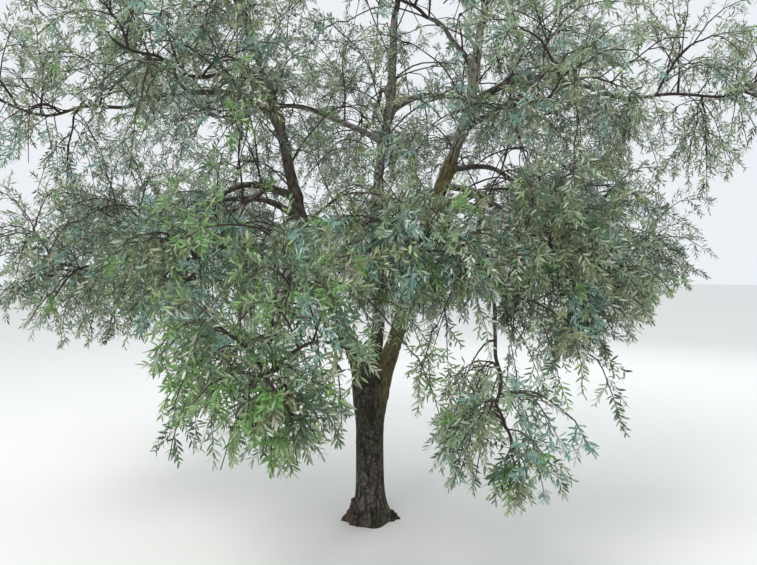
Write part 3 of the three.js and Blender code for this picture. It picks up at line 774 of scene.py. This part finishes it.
def dressTrunk(seed):  # level rings, up the trunk's line
    s, look = trunkSettings, barkLooks["trunk"]
    height = np.linspace(0, s["height"], int(s["height"] / look["step"]))
    t = (height + s["below"]) / (s["height"] + s["below"])
    centres = np.stack([s["bow"] * 4 * t * (1 - t), 0 * t, height], 1)
    angle = cornerAngles(look)
    outward = np.stack([np.cos(angle), -np.sin(angle), 0 * angle], 1)
    outward = np.broadcast_to(outward, (len(height), look["sides"], 3))
    addBark("trunk", centres, outward, trunkRadius(height[:, None], angle[None]), height, look, seed)


def dressLimb(name, seed):  # rings square to the limb's line
    look = barkLooks["bough" if limbSettings[name][0] == "trunk" else "limb"]
    line = limbLines[name]
    length = line["length"][0]
    t = np.linspace(0, 1, int(length / look["step"]))
    shape = (len(t), look["sides"])
    outward = aroundLine(headingOn(line, t)[0][:, None], sideOf(unit(line["tip"] - line["root"]))[0],
                         np.broadcast_to(cornerAngles(look), shape))
    radii = np.broadcast_to(limbRadius(name, t)[:, None], shape)
    addBark(name, pointsOn(line, t)[0], outward, radii, t * length, look, seed)


dressTrunk(barkLooks["trunkSeed"])
firstSeed, seedStep = barkLooks["limbSeeds"]
for i, name in enumerate(limbNames):
    dressLimb(name, firstSeed + seedStep * i)
print("trunk and limbs dressed")

# Twigs and leaves

leafTones = {  # upper side, underside
    "grey": ((118, 140, 106), (184, 191, 172)),
    "dark": ((58, 84, 58), (140, 154, 132)),
    "blue": ((108, 144, 132), (186, 199, 188)),
    "olive": ((113, 121, 86), (162, 166, 144)),
    "bright": ((92, 132, 68), (154, 172, 126)),
}
leafFinish = {"Upper": (0.38, 0.6), "Under": (0.75, 0.25)}
twigTones = {"old": (60, 50, 47), "young": (94, 84, 74)}
twigFinish = (0.8, 0.3)

foliageSettings = {
    "stemCrook": 2.4,  # how much more than in the solids a stem wanders
    "places": (12, 14, 7),  # of branchlets on a stem, a twig, and a twig that grows on the limb itself
    "firstPlaces": (0.1, 0.1, 0.3),
    "seeds": (1000, 2000),  # of what grows in the first mass, and of what is kept of it
    "limbTwigSpacing": (0.12, 0.16),  # between the twigs that grow on a bough and on a limb itself
    "limbTwigFrom": (0.42, 0.28),  # where they begin
    "limbTwigTo": 0.96,
    "limbTwigLength": (0.72, 0.58),
    "limbTwigAngle": (48, 80),
    "limbTwigRadius": (0.006, 0.003),
    "limbTwigArch": 0.18,
    "limbTwigHang": 0.4,  # how much of the sprays' hang they have
    "branchletLength": (0.46, 0.27),  # at the foot and at the end of a twig
    "branchletAngle": (42, 68),
    "branchletRadius": (0.0044, 0.0022),
    "branchletArch": 0.18,
    "placeShift": 0.02,
    "lengthSpread": (0.8, 1.2),
    "tipFrom": 0.985,  # past this place a sprout carries on along its line, at tipLean
    "tipLean": 0.15,
    "shares": (1, 0.86, 0.72, 0.58, 0.45),  # lengths that are tried until a sprout fits
    "shootPlaces": (0.2, 0.34, 0.48, 0.61, 0.73, 0.86, 1.0),
    "shootLength": (0.19, 0.12),
    "shootAngle": (26, 70),
    "shootRadius": (0.0018, 0.001),
    "shootArch": 0.08,
    "shootHang": 0.35,  # how much of their branchlet's hang shoots have
    "pairs": 9,
    "pairPlace": 0.9,  # how far on in its share of the shoot a pair sits
    "leafLength": (0.035, 0.053),
    "leafWidth": (0.2, 0.27),  # as a share of the length
    "leafAngle": (66, 34),  # at the foot and at the end of a shoot
    "leafDroop": (-0.1, 0.3),
    "leafShift": 0.03,
    "leafTurn": 0.25,
    "leafTilt": 9,  # degrees
    "leafFacing": (0.7, -0.35, 0.75, 0.4),  # along the shoot, away from it, upwards and at random
    "endLeaf": 0.78,  # of the length of those at the foot
    "rings": (24, 14, 9, 5, 2),  # of stems, twigs, the limb's twigs, branchlets and shoots
    "sides": (8, 5, 4, 3, 3),
    "samples": 60,  # places along a limb that sprays keep clear of
    "slack": 0.06,  # how far twigs reach over the borders between masses
    "margin": 0.035,  # what the leaves at a shoot's end need to the edge of their mass
    "air": 0.012,  # between limbs and leafy shoots
    "fringe": 0.38,  # how far the twigs of the limbs reach out of the masses
    "innerFloor": 1.8,  # over this height they fill the inside of the crown too
    "innerHalf": 0.85,  # as a share of the crown
    "crownMiddle": (-0.03, 0.1),
    "crownHalf": (2.6, 2.16),
    "crownTop": 4.0,
    "freeFloor": 1.45,  # over this height the sprays of a mass may leave it too
    "seenAt": (0.5, 0.9),  # the places on a spray that openings in the picture are held against
    "ownTone": 0.35,  # the share of shoots that differ in colour from their spray
    "hangHeights": (1.0, 3.6),  # middles of the lowest and highest masses
    "hang": (0.6, 0.14),  # how strongly sprays are drawn down at those heights
}
# Where the boughs show between the sprays, or the crown is open right through: the farthest y at
# which sprays are left out, how many of them, and then column, row and radius of each place in the
# picture. Behind a bough that shows the sprays stay.
boughY, openY = -0.05, 9
openings = (
    (boughY, 0.6, ((369, 410, 18),)),
    (boughY, 0.7, ((368, 386, 14),)),
    (boughY, 1, (
        (299, 200, 10), (290, 172, 11), (279, 142, 11), (440, 174, 16), (453, 147, 17), (480, 177, 12),
        (500, 196, 12), (235, 196, 11), (262, 206, 13), (262, 232, 10), (372, 480, 24), (372, 440, 22),
        (393, 372, 11), (398, 348, 10),)),
    (openY, 0.2, ((284, 0, 12), (128, 187, 14), (77, 0, 14))),
    (openY, 0.25, ((446, 125, 12), (151, 128, 13))),
    (openY, 0.3, (
        (330, 60, 12), (487, 36, 14), (487, 72, 10), (107, 133, 12), (54, 53, 12), (32, 163, 20),
        (756, 61, 15),)),
    (openY, 0.35, ((376, 40, 12), (612, 79, 13), (460, 350, 28))),
    (openY, 0.4, (
        (350, 33, 15), (388, 164, 10), (368, 138, 12), (194, 123, 11), (618, 92, 11), (716, 126, 12),
        (756, 134, 16), (592, 392, 30),)),
    (openY, 0.45, ((450, 45, 11), (377, 167, 14), (250, 138, 17), (164, 44, 11), (727, 110, 16))),
    (openY, 0.5, (
        (362, 10, 18), (118, 104, 14), (90, 56, 14), (55, 114, 17), (472, 193, 10), (694, 52, 12),)),
    (openY, 0.55, ((649, 60, 15), (756, 104, 13))),
    (openY, 0.6, (
        (442, 8, 22), (85, 81, 15), (77, 122, 18), (0, 64, 18), (490, 168, 14), (611, 18, 16),
        (690, 32, 22),)),
    (openY, 0.65, ((430, 64, 13), (0, 114, 14))),
    (openY, 0.7, ((508, 152, 14),)),
    (openY, 0.75, ((331, 2, 16), (407, 8, 22), (397, 119, 12), (214, 136, 16))),
    (openY, 0.8, ((352, 118, 14),)),
)
fullPlaces = (  # where the crown is closed, no spray is left out: column, row and radius
    (313, 190, 24), (44, 149, 14), (7, 5, 26), (713, 3, 30), (641, 158, 24), (678, 105, 18),
    (415, 77, 18), (284, 39, 18), (25, 190, 18), (160, 162, 20), (472, 140, 13), (302, 100, 18),
    (724, 44, 16), (158, 30, 14), (185, 124, 13), (233, 34, 14), (705, 139, 12), (470, 210, 14),
    (262, 85, 17), (252, 55, 19), (243, 20, 19), (391, 50, 10), (388, 92, 11), (385, 140, 11),
    (478, 62, 12), (482, 25, 12), (470, 98, 11),
)
# How full each mass is, how full the twigs on its limb are, and how the sprays are coloured: grey,
# dark, blue, olive, bright
massLooks = {
    "front_left_low": (0.6, 0.6, (2, 3.5, 0.4, 0.7, 5)),
    "left_low": (0.66, 0.6, (3, 3.5, 1.5, 1.2, 2)),
    "front_middle": (0.74, 0.7, (3.8, 2, 2.5, 1.4, 1)),
    "front_right_low": (0.28, 0.8, (4, 4, 1.5, 2, 0.5)),
    "right_low": (0.88, 0.8, (4, 2.4, 1.5, 2.6, 0.7)),
    "far_right_low": (0.86, 0.85, (4, 2.5, 3, 2, 0.3)),
    "far_left_low": (0.84, 0.7, (4, 3, 2, 2.5, 0.3)),
    "left_high": (0.42, 0.4, (4, 2.5, 3, 2, 0.5)),
    "far_left_high": (0.82, 0.95, (4, 3, 2.5, 2.5, 0.3)),
    "far_right_high": (1, 1, (4, 2.5, 3, 1.5, 0.5)),
    "right_high": (0.45, 0.4, (4, 3, 3, 1.5, 0.8)),
    "top_left": (0.54, 0.6, (4, 2.5, 3, 1.5, 0.5)),
    "top_right": (0.52, 0.42, (4, 2.5, 3, 1.5, 0.5)),
    "top_middle": (0.54, 0.42, (4, 2.5, 3, 1.5, 0.5)),
    "top_front": (0.5, 0.42, (4, 2.5, 3, 1.5, 0.5)),
    "back_high": (0.64, 0.55, (4, 2.5, 3, 2, 0.3)),
    "left_back_high": (0.62, 0.6, (4, 2.5, 3, 2, 0.3)),
    "right_back_high": (0.56, 0.55, (4, 2.5, 3, 2, 0.3)),
}
usualLook = (0.75, 0.7, (4, 3, 2.5, 2, 0.4))
nearest = (  # the masses that are seen closest get the finer leaves
    "front_left_low", "front_middle", "front_right_low", "left_low", "right_low", "left_high",
    "right_high",
)


def countedStream(seed):  # the same repeatable numbers as the solids use
    state = seed
    while True:
        state = (state * 1664525 + 1013904223) & 0xFFFFFFFF
        yield state / 4294967296


sampleT = np.linspace(0, 1, foliageSettings["samples"])
limbSamples = np.concatenate([pointsOn(limbLines[n], sampleT)[0] for n in limbLines])
limbSampleRadii = np.concatenate(
    [np.full(len(sampleT), trunkSettings["waist"])] + [limbRadius(n, sampleT) for n in limbNames])


def clearOfLimbs(points):  # whether points lie in the air between the limbs
    gap = sizeOf(points[..., None, :] - limbSamples)[..., 0] - limbSampleRadii
    return gap.min(-1) > foliageSettings["air"]


def stemOf(i, name):  # it carries on from the limb's tip and turns towards the far side
    line = limbLines[name]
    heading = headingOn(line, [1.0])[0, 0]
    root = line["tip"][0]
    onward = middles[i] - root
    tip = middles[i] + onward * growth["stemReach"]
    bow = (heading * sizeOf(onward) - onward) * growth["stemBow"]
    return bundle(root, tip, bow, line["phase"])


def twigsOf(i, name, stem):  # tips spread evenly round the middle, roots at even places on the stem
    count = limbSettings[name][7]
    numbers = countedStream(growth["seedStep"] * (i + 1))
    start = 2 * np.pi * next(numbers)
    draws = np.array([[next(numbers), next(numbers)] for _ in range(count)])
    order = np.arange(count)
    level = 1 - (2 * order + 1) / count
    turn = start + goldenTurn * order + growth["twigTurn"] * (draws[:, 0] - 0.5)
    flat = np.sqrt(1 - level**2)
    outward = np.stack([flat * np.cos(turn), flat * np.sin(turn), level], 1)
    tips = middles[i] + outward * halves[i] * mix(*growth["twigReach"], draws[:, 1])[:, None]
    tips = tips[np.argsort(tips @ (stem["tip"] - stem["root"])[0], kind="stable")]
    phases = 2 * np.pi * np.array([next(numbers) for _ in range(count)])
    roots = pointsOn(stem, mix(*growth["twigRoots"], order / (count - 1)))[0]
    return bundle(roots, tips, up * growth["twigArch"] * sizeOf(tips - roots), phases)


def insideMass(i, points):  # whether points lie in the reach of mass i
    away = sizeOf((points - middles[i]) / halves[i])[..., 0]
    within = away < 1 - foliageSettings["margin"] / halves[i].min()
    return within & (depthInSpace(i, points, foliageSettings["slack"]) > 0)


# The twigs of the limbs stay inside the crown: near the masses or in the middle, and within its
# outline in plan.
def insideCrown(points):
    s = foliageSettings
    reach = sizeOf((points[..., None, :] - middles) / (halves + s["fringe"]))[..., 0].min(-1)
    plan = sizeOf((points[..., :2] - s["crownMiddle"]) / s["crownHalf"])[..., 0]
    inner = (points[..., 2] > s["innerFloor"]) & (plan < s["innerHalf"])
    return ((reach < 1) | inner) & (plan < 1) & (points[..., 2] < s["crownTop"])


# The column and row where the middles and ends of lines show from the camera's place, and their y.
# Column = half the picture's width + focal length times x over y, both from the eye.
def inPicture(lines):
    points = pointsOn(lines, foliageSettings["seenAt"])
    scale = studio["focalPixels"] / (points[..., 1] - studio["eye"][1])
    column = studio["imageWidth"] / 2 + (points[..., 0] - studio["eye"][0]) * scale
    row = studio["horizonRow"] - (points[..., 2] - studio["eye"][2]) * scale
    return column, row, points[..., 1]


# Sprays whose middle or end shows in an opening are left out.
def outOfOpenings(lines):
    column, row, back = inPicture(lines)
    shown = np.ones(len(back), bool)
    for farthest, share, places in openings:
        for x, y, radius in places:
            within = (np.hypot(column - x, row - y) < radius) & (back < farthest)
            dice = np.random.default_rng([x, y, len(back)])
            shown &= ~within.any(1) | (dice.random(len(back)) > share)
    return shown


def inFullPlaces(lines):  # whether the middles of lines show in a full place
    column, row, _ = inPicture(lines)
    return np.any([np.hypot(column - x, row - y)[:, 0] < radius for x, y, radius in fullPlaces], axis=0)


# Sprouts of a bundle: each line of it bears one at each place, turned by the golden angle from the
# last, at an angle to the line, and pulled down by droop. Those that don't fit are shortened or left
# out. kind is the first word of their settings' names.
def sproutsOf(lines, places, kind, droop, fits, dice):
    s = foliageSettings
    count = len(lines["root"])
    t = np.clip(places + dice.uniform(-s["placeShift"], s["placeShift"], (count, len(places))), 0, 1)
    along = headingOn(lines, t)
    turn = goldenTurn * np.arange(len(places)) + dice.uniform(0, 2 * np.pi, (count, 1))
    lean = np.radians(dice.uniform(*s[kind + "Angle"], t.shape))
    lean = np.where(t > s["tipFrom"], s["tipLean"], lean)[..., None]
    outward = aroundLine(along, sideOf(along), turn)
    direction = unit(along * np.cos(lean) + outward * np.sin(lean) - up * droop).reshape(-1, 3)
    length = (mix(*s[kind + "Length"], t) * dice.uniform(*s["lengthSpread"], t.shape)).ravel()
    base = pointsOn(lines, t).reshape(-1, 3)
    fitted = np.zeros(len(base))
    for share in s["shares"]:
        reach = direction * (length * share)[:, None]
        inside = fits(base + reach) & clearOfLimbs(base + reach) & clearOfLimbs(base + reach * 0.5)
        fitted = np.where((fitted == 0) & inside, share, fitted)
    kept = np.flatnonzero(fitted > 0)
    reach = (direction * (length * fitted)[:, None])[kept]
    parent = np.repeat(np.arange(count), len(places))[kept]
    last = kept % len(places) == len(places) - 1
    arch = up * s[kind + "Arch"] * sizeOf(reach)
    grown = bundle(base[kept], base[kept] + reach, arch, dice.uniform(0, 2 * np.pi, len(kept)))
    return grown, parent, last


# Leaves are closed shapes: above, a roof with its ridge from root to tip, and below, flat across.
# A corner is a share of the length, a share of the width and a drop as a share of the width.
leafForms = {
    "lance": {
        "corners": ((0, 0, 0), (0.3, 0.44, 0.13), (0.68, 0.42, 0.15), (1, 0, 0.1),
                    (0.68, -0.42, 0.15), (0.3, -0.44, 0.13)),
        "above": ((0, 3, 2), (0, 2, 1), (0, 5, 4), (0, 4, 3)),
        "below": ((0, 1, 5), (1, 2, 4), (1, 4, 5), (2, 3, 4)),
    },
    "narrow": {
        "corners": ((0, 0, 0), (0.45, 0.5, 0.15), (1, 0, 0.1), (0.45, -0.5, 0.15)),
        "above": ((0, 2, 1), (0, 3, 2)),
        "below": ((0, 1, 3), (1, 2, 3)),
    },
}


# A corner stands at base + along times its share of the length + wide times its share of the width,
# and lower by its drop.
def leafShapes(form, base, along, facing, length, width):
    normal = squareTo(along, facing)
    wide = np.cross(normal, along)
    corners = np.array(form["corners"])
    points = (
        base[:, None]
        + along[:, None] * (corners[:, 0] * length[:, None])[..., None]
        + wide[:, None] * (corners[:, 1] * width[:, None])[..., None]
        - normal[:, None] * (corners[:, 2] * width[:, None])[..., None]
    )
    start = np.arange(len(base))[:, None, None] * len(corners)
    return points.reshape(-1, 3), (np.array(form["above"] + form["below"]) + start).reshape(-1, 3)


# The leaves of a bundle of shoots: opposite pairs, each pair turned a quarter from the last.
def leavesOn(shoots, dice):
    s = foliageSettings
    pairs = s["pairs"]
    count = len(shoots["root"])
    t = np.repeat((np.arange(pairs) + s["pairPlace"]) / pairs, 2)
    t = np.minimum(t + dice.uniform(-s["leafShift"], s["leafShift"], (count, 2 * pairs)), 1)
    along = headingOn(shoots, t)
    turn = np.repeat(np.arange(pairs), 2) * np.pi / 2 + np.tile((0, np.pi), pairs)
    turn = turn + dice.uniform(0, 2 * np.pi, (count, 1)) + dice.normal(0, s["leafTurn"], t.shape)
    outward = aroundLine(along, sideOf(along), turn)
    lean = mix(*s["leafAngle"], t) + dice.normal(0, s["leafTilt"], t.shape)
    lean = np.radians(lean)[..., None]
    droop = up * dice.uniform(*s["leafDroop"], lean.shape)
    direction = unit(along * np.cos(lean) + outward * np.sin(lean) - droop)
    onward, away, upward, loose = s["leafFacing"]
    facing = along * onward + outward * away + up * upward + dice.normal(0, loose, direction.shape)
    length = dice.uniform(*s["leafLength"], t.shape) * mix(1.0, s["endLeaf"], np.clip(t * 2 - 1, 0, 1))
    width = length * dice.uniform(*s["leafWidth"], t.shape)
    parent = np.repeat(np.arange(count), 2 * pairs)
    leaves = (pointsOn(shoots, t), direction, facing, length, width)
    return *(values.reshape(-1, *values.shape[2:]) for values in leaves), parent


def plainMaterial(name, colour, finish):  # finish is roughness and specular
    material, shader = newMaterial(name, colour, finish[0])
    shader.inputs["Specular IOR Level"].default_value = finish[1]
    return material


leafMaterials = [
    plainMaterial("leaf" + side + "_" + tone, colour, finish)
    for tone, colours in leafTones.items()
    for colour, (side, finish) in zip(colours, leafFinish.items())
]
twigMaterials = [plainMaterial("twig_" + tone, colour, twigFinish) for tone, colour in twigTones.items()]


def joinedTubes(kinds):  # several kinds of tubes as one list of points and its faces
    s = foliageSettings
    points, faces, slots = [], [], []
    start = 0
    for (lines, radii, slot), rings, sides in zip(kinds, s["rings"], s["sides"]):
        t = np.linspace(0, 1, rings)
        thick = np.broadcast_to(mix(*radii, t), (len(lines["root"]), rings))
        tubePoints, tubeFaces = tubeShapes(pointsOn(lines, t), thick, sides)
        points.append(tubePoints)
        faces += [part + start for part in tubeFaces]
        slots += [np.full(len(part), slot) for part in tubeFaces]
        start += len(tubePoints)
    return np.concatenate(points), faces, np.concatenate(slots)


def together(parts):  # several bundles as one
    return {key: np.concatenate([part[key] for part in parts]) for key in parts[0]}


# A mass of foliage: a stem with twigs, as in the solids, and twigs on the limb itself. All of them
# bear branchlets, and those bear shoots with leaves.
def growMass(i, name):
    s = foliageSettings
    limb, mass = limbLines[name], masses[i]
    dice, keeping = (np.random.default_rng(seed + i) for seed in s["seeds"])
    stem = stemOf(i, name)
    stem["wander"] = stem["wander"] * s["stemCrook"]
    twigs = twigsOf(i, name, stem)
    hang = np.interp(middles[i][2], s["hangHeights"], s["hang"])

    def fits(points):
        return insideMass(i, points) | (insideCrown(points) & (points[..., 2] > s["freeFloor"]))

    kind = 0 if limbSettings[name][0] == "trunk" else 1
    begin, end, spacing = s["limbTwigFrom"][kind], s["limbTwigTo"], s["limbTwigSpacing"][kind]
    onLimb = np.linspace(begin, end, int(limb["length"][0] * (end - begin) / spacing) + 1)
    limbTwigs = sproutsOf(limb, onLimb, "limbTwig", hang * s["limbTwigHang"], insideCrown, dice)[0]
    tests = (fits, fits, insideCrown)
    bearers = zip((stem, twigs, limbTwigs), s["firstPlaces"], s["places"], tests)
    branchlets, _, atEnds = zip(*[
        sproutsOf(lines, np.linspace(first, 1, places), "branchlet", hang, test, dice)
        for lines, first, places, test in bearers
    ])
    full, limbFull, tones = massLooks.get(mass, usualLook)
    shown = np.concatenate([
        ((keeping.random(len(atEnd)) < share) | atEnd | inFullPlaces(part)) & outOfOpenings(part)
        for part, atEnd, share in zip(branchlets, atEnds, (full, full, limbFull))])
    shoots, spray, counted = [], [], 0
    places, droop = np.array(s["shootPlaces"]), hang * s["shootHang"]
    for part, test in zip(branchlets, tests):
        grown, parent, _ = sproutsOf(part, places, "shoot", droop, test, dice)
        shoots.append(grown)
        spray.append(parent + counted)
        counted += len(part["root"])
    branchlets, shoots, spray = together(branchlets), together(shoots), np.concatenate(spray)

    # The colours are dealt out by spray, and only then the sprays are picked
    share = np.array(tones) / sum(tones)
    toneOfSpray, toneOfShoot = (
        dice.choice(len(leafTones), len(part["root"]), p=share) for part in (branchlets, shoots))
    toneOfShoot = np.where(dice.random(len(spray)) < s["ownTone"], toneOfShoot, toneOfSpray[spray])
    seen = shown[spray] & outOfOpenings(shoots)
    branchlets, shoots, toneOfShoot = picked(branchlets, shown), picked(shoots, seen), toneOfShoot[seen]

    points, faces, slots = joinedTubes([
        (stem, (limbSettings[name][3][1], growth["stemTip"]), 0),
        (twigs, growth["twigRadii"], 0),
        (limbTwigs, s["limbTwigRadius"], 0),
        (branchlets, s["branchletRadius"], 0),
        (shoots, s["shootRadius"], 1),
    ])
    wood = addPiece("twigs_" + mass, points, faces, twigMaterials, slots)
    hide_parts("foliage_" + mass)
    *shape, shoot = leavesOn(shoots, dice)
    form = leafForms["lance" if mass in nearest else "narrow"]
    points, faces = leafShapes(form, *shape)
    sides = np.repeat([0, 1], [len(form["above"]), len(form["below"])])
    slots = (2 * toneOfShoot[shoot][:, None] + sides).ravel()
    leaves = addPiece("leaves_" + mass, points, [faces], leafMaterials, slots)
    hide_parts("foliage_" + mass)
    return len(branchlets["root"]), len(shoots["root"]), len(shoot)


totals = np.array([growMass(i, name) for i, name in enumerate(limbNames)]).sum(0)
print("branchlets, shoots, leaves:", *totals)
